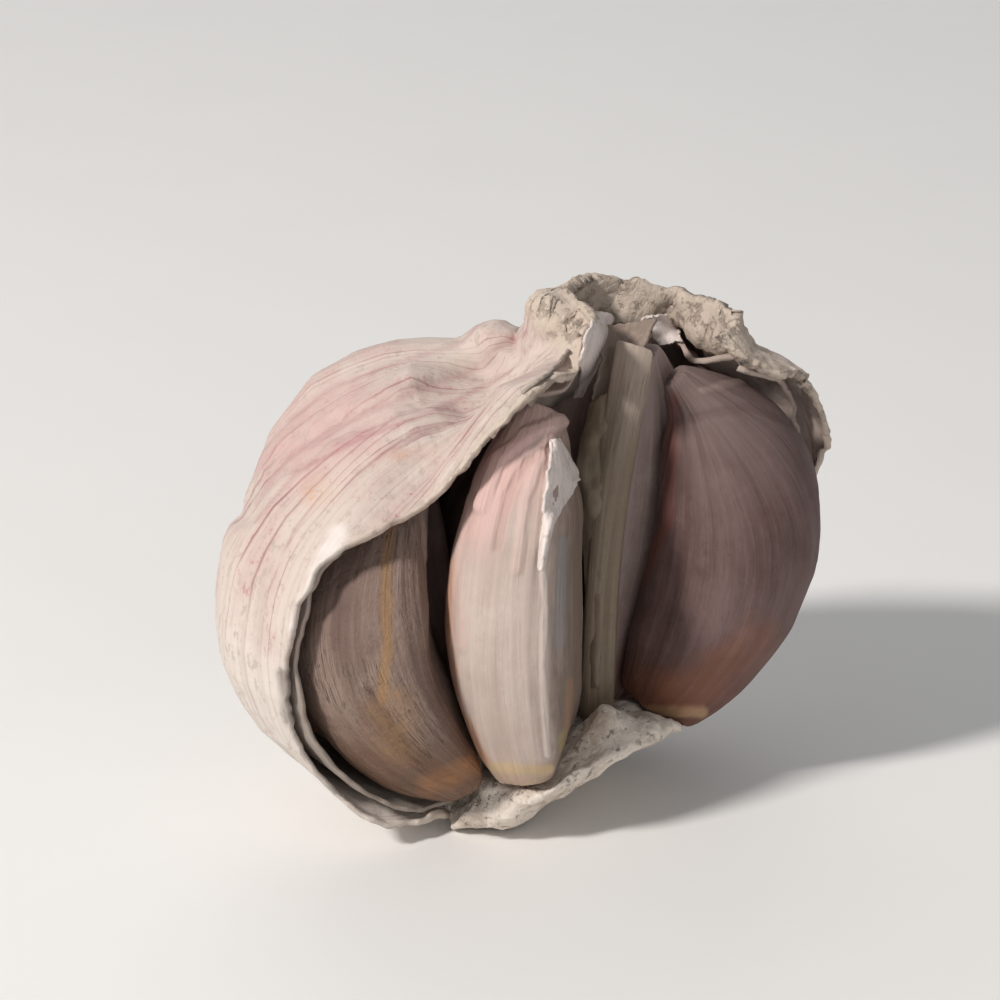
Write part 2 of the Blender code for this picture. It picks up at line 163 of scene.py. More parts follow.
def on_drawing(points: Array) -> Array:
    """Places on the elevation drawing (right, down) of points in the object."""
    rise, depth = points[..., 2] - DRAWN_Z, points[..., 1] - DRAWN_Y
    height = rise * math.cos(TILT) + depth * math.sin(TILT)
    return np.stack([DRAWN_RIGHT + points[..., 0] / STEP, DRAWN_DOWN - height / STEP], -1)


def off_drawing(right: float, down: float, back: float) -> Array:
    """The point in the object that shows at a place on the drawing, at a depth y."""
    height = (DRAWN_DOWN - down) * STEP - (back - DRAWN_Y) * math.sin(TILT)
    return np.array(((right - DRAWN_RIGHT) * STEP, back, DRAWN_Z + height / math.cos(TILT)))


def search_tree(obj: bpy.types.Object) -> BVHTree:
    """A search tree over an object's mesh, in millimetres."""
    mesh = obj.data
    return BVHTree.FromPolygons(
        [v.co / MM for v in mesh.vertices], [tuple(p.vertices) for p in mesh.polygons]
    )


class Front:
    """What shows at a place on the drawing: the foremost point of the solids."""

    def __init__(self) -> None:
        """Gathers the search trees of every solid."""
        self.trees = [search_tree(obj) for obj in frame["nodes"].values()]

    def point(self, right: float, down: float, forward: float = 0.0) -> Array:
        """The foremost point there.

        Args:
            right: steps from the drawing's left edge.
            down: steps from its upper edge.
            forward: how far to come toward the viewer from the point found.

        Returns:
            A point in millimetres.
        """
        anywhere_inside = 5.0  # a depth; the ray runs through every depth there
        start = off_drawing(right, down, anywhere_inside) + TOWARD_VIEWER * FAR
        found = []
        for tree in self.trees:
            hit = tree.ray_cast(Vector(start), Vector(-TOWARD_VIEWER), 2 * FAR)
            if hit[0] is not None:
                found.append(hit[3])
        reach = min(found) if found else FAR
        return start - TOWARD_VIEWER * (reach - forward)


@dataclass(frozen=True)
class Stroke:
    """A stroke of another colour or height, along a path on the drawing."""

    path: tuple  # (right, down) places
    width: float  # to where it has faded, in steps
    colour: Colour = (1.0, 1.0, 1.0)
    strength: float = 0.0
    lift: float = 0.0  # millimetres outward
    flecks: float = 0.0  # 0 for an even stroke, 1 for one broken into flecks

    def cover(self, drawn: Array, points: Array) -> Array:
        """How much of the stroke reaches each point, 0 to 1.

        Args:
            drawn: the points' places on the drawing.
            points: the points in millimetres.

        Returns:
            One number for each point.
        """
        wobble = grain(points, 1.6, 5, 3)
        nearest = np.full(len(drawn), 1e9)
        stops = [np.array(p, float) for p in self.path]
        if len(stops) == 1:
            stops = stops * 2
        for start, end in zip(stops, stops[1:]):
            along = end - start
            share = np.clip((drawn - start) @ along / max(along @ along, 1e-9), 0, 1)
            off = np.linalg.norm(drawn - start - share[:, None] * along, axis=1)
            nearest = np.minimum(nearest, off)
        cover = 1 - smooth_step(0.25, 1.0, nearest / self.width + 0.3 * wobble)
        if self.flecks:
            broken = smooth_step(0.12, 0.42, grain(points, 0.9, 8, 3))
            cover = cover * (1 - self.flecks + self.flecks * broken)
        return cover


class Signal:
    """A number that varies over a surface. Arithmetic on it adds Math nodes."""

    def __init__(self, graph: "Graph", socket: bpy.types.NodeSocket) -> None:
        """Wraps an output socket."""
        self.graph = graph
        self.socket = socket

    def __add__(self, other: "Signal | float") -> "Signal":
        """Sum."""
        return self.graph.math("ADD", self, other)

    def __radd__(self, other: float) -> "Signal":
        """Sum, number first."""
        return self.graph.math("ADD", other, self)

    def __sub__(self, other: "Signal | float") -> "Signal":
        """Difference."""
        return self.graph.math("SUBTRACT", self, other)

    def __rsub__(self, other: float) -> "Signal":
        """Difference, number first."""
        return self.graph.math("SUBTRACT", other, self)

    def __mul__(self, other: "Signal | float") -> "Signal":
        """Product."""
        return self.graph.math("MULTIPLY", self, other)

    def __rmul__(self, other: float) -> "Signal":
        """Product, number first."""
        return self.graph.math("MULTIPLY", other, self)

    def __abs__(self) -> "Signal":
        """Size without sign."""
        return self.graph.math("ABSOLUTE", self, 0.0)

    def step(self, low: float, high: float) -> "Signal":
        """0 up to low, 1 from high on, smooth between; falls where low is above high."""
        return self.graph.step(self, low, high)


class Graph:
    """The node tree of one material, ended by a Principled BSDF."""

    def __init__(self, name: str) -> None:
        """Makes the material and finds its shader."""
        self.material = bpy.data.materials.new(name)
        self.material.use_nodes = True
        self.tree = self.material.node_tree
        self.shader = self.tree.nodes["Principled BSDF"]

    def node(self, kind: str, settings: dict, inputs: dict) -> bpy.types.Node:
        """Adds a node.

        Args:
            kind: the node's type.
            settings: its properties, set first.
            inputs: values or signals by socket name or number.

        Returns:
            The node.
        """
        node = self.tree.nodes.new(kind)
        for key, value in settings.items():
            setattr(node, key, value)
        for key, value in inputs.items():
            if isinstance(value, Signal):
                self.tree.links.new(value.socket, node.inputs[key])
            else:
                node.inputs[key].default_value = value
        return node

    def math(self, operation: str, first: Signal | float, second: Signal | float) -> Signal:
        """A Math node on two numbers."""
        node = self.node("ShaderNodeMath", {"operation": operation}, {0: first, 1: second})
        return Signal(self, node.outputs[0])

    def step(self, value: Signal, low: float, high: float) -> Signal:
        """A smooth step from 0 at low to 1 at high."""
        ends = {"From Min": low, "From Max": high}
        if low > high:
            ends = {"From Min": high, "From Max": low, "To Min": 1.0, "To Max": 0.0}
        node = self.node(
            "ShaderNodeMapRange", {"interpolation_type": "SMOOTHSTEP"}, {"Value": value, **ends}
        )
        return Signal(self, node.outputs["Result"])

    def mix(self, first: Signal | Colour, second: Signal | Colour, share: Signal | float) -> Signal:
        """A blend of two colours, all second where share is 1."""
        inputs = {0: share}
        for number, colour in ((6, first), (7, second)):
            inputs[number] = colour if isinstance(colour, Signal) else (*colour, 1.0)
        node = self.node("ShaderNodeMix", {"data_type": "RGBA", "clamp_factor": True}, inputs)
        return Signal(self, node.outputs[2])

    def place(self) -> Signal:
        """Object coordinates."""
        node = self.node("ShaderNodeTexCoord", {}, {})
        return Signal(self, node.outputs["Object"])

    def attribute(self, name: str, output: str = "Vector") -> Signal:
        """A value kept on the mesh."""
        node = self.node("ShaderNodeAttribute", {"attribute_name": name}, {})
        return Signal(self, node.outputs[output])

    def stretched(self, vector: Signal, by: tuple) -> Signal:
        """A vector with each part multiplied."""
        node = self.node("ShaderNodeVectorMath", {"operation": "MULTIPLY"}, {0: vector, 1: by})
        return Signal(self, node.outputs[0])

    def part(self, vector: Signal, number: int) -> Signal:
        """One part of a vector."""
        node = self.node("ShaderNodeSeparateXYZ", {}, {0: vector})
        return Signal(self, node.outputs[number])

    def noise(self, vector: Signal, scale: float, detail: float = 3.0, rough: float = 0.55) -> Signal:
        """Noise of about 0.5 on average."""
        inputs = {"Vector": vector, "Scale": scale, "Detail": detail, "Roughness": rough}
        node = self.node("ShaderNodeTexNoise", {}, inputs)
        return Signal(self, node.outputs[0])

    def finish(
        self, colour: Signal, rough: Signal | float, height: Signal, depth: float, specular: float
    ) -> None:
        """Connects the shader.

        Args:
            colour: base colour.
            rough: roughness.
            height: relief, about 0 to 1.
            depth: relief of 1 in millimetres.
            specular: the shader's specular level.
        """
        bump = self.node(
            "ShaderNodeBump", {}, {"Height": height, "Strength": 1.0, "Distance": depth * MM}
        )
        self.tree.links.new(colour.socket, self.shader.inputs["Base Color"])
        self.tree.links.new(bump.outputs[0], self.shader.inputs["Normal"])
        if isinstance(rough, Signal):
            self.tree.links.new(rough.socket, self.shader.inputs["Roughness"])
        else:
            self.shader.inputs["Roughness"].default_value = rough
        self.shader.inputs["Specular IOR Level"].default_value = specular


@dataclass(frozen=True)
class PaperFinish:
    """Dry wrapper skin: cream paper with fine fibres, pink veins and a crumbly torn collar."""

    upper: Colour = tint(206, 190, 180)
    lower: Colour = tint(218, 208, 199)
    vein: Colour = tint(142, 84, 92)
    blush: Colour = tint(186, 152, 148)
    fleck: Colour = tint(176, 104, 108)
    crumb: Colour = tint(200, 184, 168)
    pit: Colour = tint(150, 132, 118)
    inside: Colour = tint(172, 154, 144)
    vein_strength: float = 0.6
    relief: float = 0.16  # millimetres
    specular: float = 0.3

    def material(self, name: str) -> bpy.types.Material:
        """The finish as a material.

        Args:
            name: the material's name.

        Returns:
            The material.
        """
        g = Graph(name)
        run = g.attribute("run")
        place = g.place()
        height = g.part(run, 2)
        crumbly = g.attribute("crumb", "Fac")
        fibres = g.noise(g.stretched(run, (34.0, 34.0, 5.0)), 1.0, 4.0, 0.6)
        broad = g.noise(g.stretched(run, (5.0, 5.0, 1.6)), 1.0, 3.0)
        veins = g.noise(g.stretched(run, (8.5, 8.5, 0.9)), 1.0, 1.5, 0.45)
        close = g.noise(g.stretched(run, (19.0, 19.0, 1.6)), 1.0, 1.5, 0.45)
        patches = g.noise(place, 150.0, 4.0, 0.6)
        fine = g.noise(place, 1900.0, 3.0, 0.6)
        faint = patches.step(0.36, 0.6) * (0.3 + 0.7 * height.step(0.4, 0.6))
        line = abs(veins - 0.5).step(0.02, 0.0) * (0.35 + 0.65 * faint)
        thread = abs(close - 0.5).step(0.016, 0.0) * faint * 0.5
        paper = g.mix(self.lower, self.upper, height.step(0.40, 0.62))
        pink = (patches * 0.6 + broad * 0.4).step(0.46, 0.66) * height.step(0.36, 0.58)
        paper = g.mix(paper, self.blush, pink * 0.5)
        specks = g.noise(g.stretched(place, (1.0, 1.0, 0.6)), 1100.0, 3.0, 0.7)
        paper = g.mix(paper, self.fleck, specks.step(0.57, 0.68) * pink * 0.7)
        paper = g.mix(paper, self.inside, specks.step(0.45, 0.34) * 0.5)
        paper = g.mix(paper, self.inside, fibres.step(0.6, 0.32) * 0.3)
        paper = g.mix(paper, self.vein, (line + thread) * self.vein_strength)
        crumbs = g.noise(place, 620.0, 6.0, 0.72)
        holes = crumbs.step(0.46, 0.38)
        crumb = g.mix(self.crumb, self.pit, crumbs.step(0.52, 0.34) * 0.7)
        colour = g.mix(paper, crumb, (crumbly + 0.5 * (crumbs - 0.5)).step(0.14, 0.6) * 0.9)
        paint = g.attribute("paint", "Color")
        share = g.attribute("paint", "Alpha")
        colour = g.mix(colour, paint, share * (0.75 + 0.5 * (patches - 0.4)))
        relief = fibres * 0.4 + fine * 0.4 + specks * 0.3 + (crumbs - holes * 0.2) * crumbly * 2.2
        g.finish(colour, 0.62 + 0.25 * fine, relief, self.relief, self.specular)
        return g.material


@dataclass(frozen=True)
class CloveFinish:
    """Clove skin: smooth, thin and satin, with streaks from its foot to its beak."""

    light: Colour
    dark: Colour
    foot: Colour
    beak: Colour
    foot_share: float = 0.26
    streak: float = 0.8
    rough: float = 0.5
    cracked: float = 0.4
    relief: float = 0.1  # millimetres
    specular: float = 0.32

    def material(self, name: str) -> bpy.types.Material:
        """The finish as a material.

        Args:
            name: the material's name.

        Returns:
            The material.
        """
        g = Graph(name)
        run = g.attribute("run")
        place = g.place()
        height = g.part(run, 2)
        wide = g.noise(g.stretched(run, (3.2, 3.2, 1.3)), 1.0, 3.0, 0.6)
        streaks = g.noise(g.stretched(run, (9.0, 9.0, 1.8)), 1.0, 4.0, 0.6)
        threads = g.noise(g.stretched(run, (30.0, 30.0, 4.5)), 1.0, 3.0, 0.6)
        patches = g.noise(place, 170.0, 4.0, 0.6)
        fine = g.noise(place, 1700.0, 3.0, 0.65)
        tone = wide * 0.3 + streaks * 0.26 + threads * 0.14 + patches * 0.3
        colour = g.mix(self.dark, self.light, tone.step(0.37, 0.63) * self.streak)
        colour = g.mix(colour, self.light, (patches * 0.5 + fine * 0.5).step(0.5, 0.68) * 0.35)
        colour = g.mix(colour, self.dark, (patches * 0.4 + fine * 0.6).step(0.46, 0.34) * 0.5)
        ragged = height + 0.14 * (streaks - 0.5) + 0.1 * (patches - 0.5)
        colour = g.mix(colour, self.foot, ragged.step(self.foot_share, 0.0) * 0.7)
        colour = g.mix(colour, self.beak, ragged.step(0.66, 0.98) * 0.8)
        cracks = g.noise(g.stretched(run, (26.0, 26.0, 7.0)), 1.0, 2.0, 0.5)
        lines = abs(streaks - 0.5).step(0.012, 0.0) * 0.3
        gaps = abs(cracks - 0.5).step(0.022, 0.0) * patches.step(0.46, 0.6) * self.cracked
        colour = g.mix(colour, self.dark, lines + gaps * 0.5)
        paint = g.attribute("paint", "Color")
        share = g.attribute("paint", "Alpha")
        colour = g.mix(colour, paint, share * (0.8 + 0.5 * (threads - 0.45)))
        relief = threads * 0.4 + streaks * 0.4 + (0.25 + 0.5 * self.cracked) * fine
        relief = relief + patches * 0.5 - gaps * 0.5
        g.finish(colour, self.rough + 0.3 * fine, relief, self.relief, self.specular)
        return g.material


@dataclass(frozen=True)
class ChalkFinish:
    """Basal plate and root scar: chalky, pitted and dusty."""

    light: Colour = tint(226, 214, 202)
    dark: Colour = tint(190, 175, 160)
    pit: Colour = tint(118, 102, 88)
    relief: float = 0.4  # millimetres
    specular: float = 0.2

    def material(self, name: str) -> bpy.types.Material:
        """The finish as a material.

        Args:
            name: the material's name.

        Returns:
            The material.
        """
        g = Graph(name)
        place = g.place()
        lumps = g.noise(place, 330.0, 5.0, 0.62)
        crumbs = g.noise(place, 1100.0, 4.0, 0.7)
        holes = crumbs.step(0.42, 0.32)
        colour = g.mix(self.dark, self.light, lumps.step(0.36, 0.56))
        colour = g.mix(colour, self.pit, crumbs.step(0.46, 0.3) * 0.6)
        paint = g.attribute("paint", "Color")
        colour = g.mix(colour, paint, g.attribute("paint", "Alpha"))
        relief = lumps * 0.9 + crumbs * 0.8 - holes * 0.3
        g.finish(colour, 0.86 + 0.1 * crumbs, relief, self.relief, self.specular)
        return g.material


class Skin(Enum):
    """The finishes, named for what wears them."""

    OUTER_PAPER = PaperFinish()
    # painted shade: the inner paper is greyer than the outer paper, and darkened further for the shade
    # inside the outer wrapper and under the collar
    SHADED_INNER_PAPER = PaperFinish(upper=tint(172, 156, 146), lower=tint(158, 146, 136), vein_strength=0.25)
    MEMBRANE = PaperFinish(upper=tint(228, 216, 210), lower=tint(228, 216, 210), vein_strength=0.1)
    SHADED_MEMBRANE = PaperFinish(
        upper=tint(150, 134, 124), lower=tint(136, 120, 108), vein_strength=0.2
    )
    MAUVE_CLOVE = CloveFinish(
        tint(154, 132, 120), tint(104, 83, 73), tint(112, 78, 56), tint(146, 126, 118),
        foot_share=0.34, cracked=1.0, relief=0.24,
    )
    PALE_CLOVE = CloveFinish(
        tint(206, 190, 180), tint(180, 160, 150), tint(196, 168, 142), tint(204, 172, 164),
        foot_share=0.12, streak=0.6, cracked=0.15, relief=0.09,
    )
    # its own mauve-brown, darkened with painted shade for the shadow that the neck and collar cast on
    # the right clove; the back-right clove wears it too
    SHADED_UMBER_CLOVE = CloveFinish(
        tint(120, 98, 95), tint(84, 62, 58), tint(106, 66, 50), tint(116, 98, 94),
        foot_share=0.32, cracked=0.2,
    )
    SLIM_CLOVE = CloveFinish(
        tint(188, 168, 162), tint(146, 124, 118), tint(178, 128, 114), tint(184, 164, 158),
        foot_share=0.3,
    )
    TAWNY_CLOVE = CloveFinish(
        tint(170, 146, 136), tint(128, 102, 94), tint(168, 130, 100), tint(160, 136, 128),
        foot_share=0.3,
    )
    OLIVE_STALK = CloveFinish(
        tint(156, 142, 124), tint(124, 108, 92), tint(140, 122, 100), tint(170, 154, 142),
        foot_share=0.2, streak=0.7, rough=0.55,
    )
    CHALK = ChalkFinish()


class Piece:
    """One finished piece: a mesh with its place in its vertices."""

    def __init__(self, name: str, obj: bpy.types.Object) -> None:
        """Takes an object as this piece.

        Args:
            name: the piece's name.
            obj: a mesh object with no other user.
        """
        self.name = name
        self.obj = obj
        obj.name = name
        obj.data.name = name

    @staticmethod
    def deselect() -> None:
        """Leaves nothing selected."""
        for obj in bpy.context.view_layer.objects:
            obj.select_set(False)

    @classmethod
    def from_grid(cls, name: str, columns: int, rows: int) -> "Piece":
        """A flat grid primitive, which the caller bends into shape."""
        cls.deselect()
        bpy.ops.mesh.primitive_grid_add(x_subdivisions=columns, y_subdivisions=rows, size=2)
        return cls(name, bpy.context.object)

    @classmethod
    def from_node(cls, name: str, node: str, levels: int) -> "Piece":
        """A copy of a CAD node, welded, with four-sided faces and subdivided."""
        source = frame["nodes"][node]
        obj = bpy.data.objects.new(name, source.data.copy())
        bpy.context.scene.collection.objects.link(obj)
        cls.deselect()
        obj.select_set(True)
        bpy.context.view_layer.objects.active = obj
        bpy.ops.object.mode_set(mode="EDIT")
        bpy.ops.mesh.select_all(action="SELECT")
        bpy.ops.mesh.remove_doubles(threshold=0.00001)
        bpy.ops.mesh.tris_convert_to_quads(face_threshold=0.9, shape_threshold=0.9)
        bpy.ops.object.mode_set(mode="OBJECT")
        piece = cls(name, obj)
        smoother = obj.modifiers.new("smoother", "SUBSURF")
        smoother.levels = smoother.render_levels = levels
        piece.apply(smoother)
        return piece

    def apply(self, modifier: bpy.types.Modifier) -> None:
        """Applies a modifier."""
        self.deselect()
        self.obj.select_set(True)
        bpy.context.view_layer.objects.active = self.obj
        bpy.ops.object.modifier_apply(modifier=modifier.name)

    @property
    def points(self) -> Array:
        """The vertices in millimetres."""
        places = np.zeros(len(self.obj.data.vertices) * 3)
        self.obj.data.vertices.foreach_get("co", places)
        return places.reshape(-1, 3) / MM

    @points.setter
    def points(self, places: Array) -> None:
        """Moves the vertices."""
        self.obj.data.vertices.foreach_set("co", (places * MM).ravel())
        self.obj.data.update()

    @property
    def normals(self) -> Array:
        """The vertices' outward directions."""
        sides = np.zeros(len(self.obj.data.vertices) * 3)
        self.obj.data.vertices.foreach_get("normal", sides)
        return sides.reshape(-1, 3)

    def keep(self, name: str, values: Array) -> None:
        """Keeps a number or a vector for each vertex under a name."""
        kind, key = ("FLOAT_VECTOR", "vector") if values.ndim > 1 else ("FLOAT", "value")
        store = self.obj.data.attributes.new(name, kind, "POINT")
        store.data.foreach_set(key, values.astype(np.float32).ravel())

    def paint(self, strokes: tuple[Stroke, ...]) -> None:
        """Lays strokes on the side that the drawing shows: their colours and their relief.

        Args:
            strokes: in order, later ones over earlier ones.
        """
        points, normals = self.points, self.normals
        drawn = on_drawing(points)
        facing = normals @ TOWARD_VIEWER
        shown = smooth_step(-0.1, 0.25, facing)
        raised = smooth_step(-0.6, -0.1, facing)  # goes on past the outline, so that this lifts too
        colour, share = np.zeros(points.shape), np.zeros(len(points))
        lift = np.zeros(len(points))
        for stroke in strokes:
            cover = stroke.cover(drawn, points)
            ink = cover * shown * stroke.strength
            colour = colour * (1 - ink)[:, None] + np.array(stroke.colour) * ink[:, None]
            share = share + (1 - share) * ink
            lift += stroke.lift * cover * raised
        plain = colour / np.maximum(share, 1e-6)[:, None]
        values = np.hstack([plain, share[:, None]])
        store = self.obj.data.color_attributes.new("paint", "FLOAT_COLOR", "POINT")
        store.data.foreach_set("color", values.astype(np.float32).ravel())
        self.points = points + normals * lift[:, None]

    def finish(self, skin: Skin, slot: str, nodes: tuple[str, ...] = ()) -> bpy.types.Object:
        """Dresses the piece and fixes it to the bulb.

        Args:
            skin: its finish.
            slot: the record's material slot; not used.
            nodes: CAD nodes that it stands for.

        Returns:
            The object.
        """
        self.obj.data.materials.clear()
        self.obj.data.materials.append(MATERIALS[skin])
        self.obj.data.shade_smooth()
        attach(self.obj, "root")
        if nodes:
            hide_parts(*nodes)
        log.info("%s: %d faces", self.name, len(self.obj.data.polygons))
        return self.obj


MATERIALS = {skin: skin.value.material(skin.name.lower()) for skin in Skin}


@dataclass(frozen=True)
class Fan:
    """The rays that the wrappers are drawn along, by share of the height and azimuth."""

    ribs: tuple = (
        (0.00, (2.5, 1.5, 9.5), -40, 0),
        (0.12, (2.0, 1.5, 11.5), -34, 0),
        (0.30, (1.5, 1.5, 15.0), -20, 0),
        (0.50, (2.0, 2.0, 20.0), 0, 2),
        (0.66, (2.5, 2.5, 23.0), 22, 6),
        (0.80, (4.0, 3.4, 26.5), 42, 13),
        (0.90, (8.6, 4.4, 32.0), 50, 18),
        (1.00, (13.6, 5.2, 41.0), 40, 6),
    )

    def rays(self, share: Array, azimuth: Array) -> tuple[Array, Array]:
        """The rays' starts and directions.

        Args:
            share: shares of the height.
            azimuth: azimuths in radians.

        Returns:
            Starts in millimetres, and directions of length 1.
        """
        start = smooth_curve(tuple((r[0], r[1]) for r in self.ribs), share) - FOOT_SHIFT
        rise = np.radians(smooth_curve(tuple((r[0], r[2]) for r in self.ribs), share))
        lean = np.radians(smooth_curve(tuple((r[0], r[3]) for r in self.ribs), share))
        x, y, z = np.cos(rise) * np.cos(azimuth), np.cos(rise) * np.sin(azimuth), np.sin(rise)
        ray = (x * np.cos(lean) + z * np.sin(lean), y, z * np.cos(lean) - x * np.sin(lean))
        return start, np.stack(ray, -1)


@dataclass
class Wrapper:
    """One papery wrapper. Its torn edges are azimuths in degrees at shares of the height.

    The shares and the fan's rays are those of the solids, so the paper keeps to them.
    """

    node: str
    right_tear: tuple
    left_tear: tuple
    top: float
    seed: int
    skin: Skin
    columns: int
    rows: int
    collar: float  # 1 where the torn edge near the neck is thick and crumbly
    paper: float = 0.34  # thickness away from the collar
    collar_paper: float = 0.95  # what the crumbly collar adds to it
    crumb_height: float = 1.15
    strokes: tuple = ()
    fan: Fan = field(default_factory=Fan)

    def torn(self, edge: tuple, shares: Array, seed: int) -> Array:
        """Azimuths of a torn edge, with its large and its fine teeth."""
        teeth = np.array(
            [
                noise.noise(Vector((s * 16.0, seed * 7.3, 0.5)))
                + 0.5 * noise.noise(Vector((s * 41.0, seed * 1.7, 3.5)))
                for s in shares
            ]
        )
        line = np.stack([shares * 100, np.full(shares.shape, seed * 3.0), np.zeros(shares.shape)], -1)
        fine = 0.75 * grain(line, 2.4, seed, 2) + 0.55 * grain(line, 0.9, seed + 3, 2)
        return smooth_curve(edge, shares) + 2.2 * teeth + fine

    def reach(self, tree: BVHTree, share: Array, azimuth: Array) -> Array:
        """How far out the solid's outer face lies along each ray, row by row.

        Args:
            tree: the solid's search tree.
            share: shares of the height, one row each.
            azimuth: azimuths in radians.

        Returns:
            Distances; past the solid's torn edge, the nearest one on the row goes on.
        """
        start, ray = self.fan.rays(share, azimuth)
        found = np.full(share.shape, np.nan)
        for k, j in np.ndindex(share.shape):
            origin, way = Vector(start[k, j]), Vector(ray[k, j])
            hit = tree.ray_cast(origin + way * FAR, -way, FAR)
            if hit[0] is not None:
                found[k, j] = FAR - hit[3]
        columns = np.arange(share.shape[1])
        for k in range(share.shape[0]):
            known = np.isfinite(found[k])
            if known.any():
                inner = np.flatnonzero(known)
                first, last = inner[0], inner[-1]
                found[k] = np.interp(columns, columns[known], found[k][known])
                edge = min(3, (last - first) // 4)
                found[k][: first + edge] = found[k][first + edge]
                found[k][last - edge + 1 :] = found[k][last - edge]
        for k in range(1, share.shape[0]):
            if not np.isfinite(found[k]).all():
                found[k] = found[k - 1]
        return found

    def even_shares(self, tree: BVHTree) -> Array:
        """Shares of the height that are evenly spaced along the left side."""
        fine = np.linspace(0.0, self.top, 200)[:, None]
        azimuth = np.full(fine.shape, math.radians(200))
        start, ray = self.fan.rays(fine, azimuth)
        line = (start + ray * self.reach(tree, fine, azimuth)[..., None])[:, 0]
        along = np.concatenate([[0], np.cumsum(np.linalg.norm(np.diff(line, axis=0), axis=1) + 0.05)])
        return np.interp(np.linspace(0, along[-1], self.rows + 1), along, fine[:, 0])

    def build(self) -> bpy.types.Object:
        """Bends a grid over the solid, roughens it, gives it thickness and dresses it."""
        tree = search_tree(frame["nodes"][self.node])
        sheet = Piece.from_grid(self.node + "_paper", self.columns, self.rows)
        flat = sheet.points * MM
        across = (flat[:, 0] + 1) / 2
        up = (flat[:, 1] + 1) / 2
        shares = self.even_shares(tree)
        right = self.torn(self.right_tear, shares, self.seed)
        left = self.torn(self.left_tear, shares, self.seed + 1)
        row = np.rint(up * (len(shares) - 1)).astype(int)
        steps = np.unique(np.round(across, 6))
        column = np.searchsorted(steps, np.round(across, 6))
        u = steps - 0.1 * np.sin(2 * math.pi * steps)
        share = np.repeat(shares[:, None], len(u), 1)
        azimuth = np.radians(right[:, None] + (left - right)[:, None] * u)
        reach = self.reach(tree, share, azimuth)
        start, ray = self.fan.rays(share, azimuth)
        from_edge = np.minimum(u, 1 - u) * np.radians(left - right)[:, None] * reach
        near_neck = smooth_curve(
            ((0, 0), (0.62, 0.05), (0.75, 0.4), (0.85, 0.8), (0.93, 1.0), (1.0, 1.0)), share
        )
        near_top = smooth_step(0.86, 0.97, share)
        ragged = grain(start + ray * reach[..., None], 3.0, 4, 2)
        left_side = np.broadcast_to(smooth_step(0.55, 0.9, u), share.shape)
        width = (0.9 + 2.6 * near_neck) * (1 + 0.5 * ragged)
        crumb = np.exp(-from_edge / width) * (0.35 + 0.65 * near_neck)
        crumb = crumb * (1 - 0.35 * left_side * near_neck)
        crumb = np.maximum(crumb, 0.7 * smooth_step(0.13, 0.0, share) * (1 + 0.6 * ragged))
        crumb = self.collar * np.maximum(crumb, near_top * (0.85 + 0.3 * ragged))
        place = start + ray * reach[..., None]
        turn = np.stack([np.cos(azimuth), np.sin(azimuth), share], -1)
        ribs = grain(turn, (0.045, 0.045, 0.5), 2, 2) * 0.06
        ribs = ribs + grain(turn, (0.16, 0.16, 0.4), 6, 1) * 0.16
        dents = grain(place, 9.0, 11, 2) * 0.22 + grain(place, 2.6, 12, 2) * 0.06
        crumbs = grain(place, 1.2, 14, 3) * 0.5 + grain(place, 3.2, 15, 2) * 0.5 - 0.3
        height = ribs + dents + crumb * crumbs * self.crumb_height
        place = start + ray * (reach + height)[..., None]
        sheet.points = place[row, column]
        if (sheet.normals * ray[row, column]).sum() < 0:
            bpy.ops.object.mode_set(mode="EDIT")
            bpy.ops.mesh.select_all(action="SELECT")
            bpy.ops.mesh.flip_normals()
            bpy.ops.object.mode_set(mode="OBJECT")
        sheet.keep("run", turn[row, column])
        sheet.keep("crumb", crumb[row, column])
        sheet.paint(self.strokes)
        thick = self.paper + self.collar_paper * np.clip(crumb, 0, 1) * (0.8 + 0.4 * ragged)
        weights = sheet.obj.vertex_groups.new(name="thickness")
        for index, value in enumerate(thick[row, column] / WIDEST_WALL):
            weights.add([index], min(1.0, float(value)), "REPLACE")
        wall = sheet.obj.modifiers.new("wall", "SOLIDIFY")
        wall.thickness = WIDEST_WALL * MM
        wall.offset = -1.0
        wall.vertex_group = "thickness"
        sheet.apply(wall)
        sheet.obj.vertex_groups.clear()
        return sheet.finish(self.skin, self.node, (self.node,))


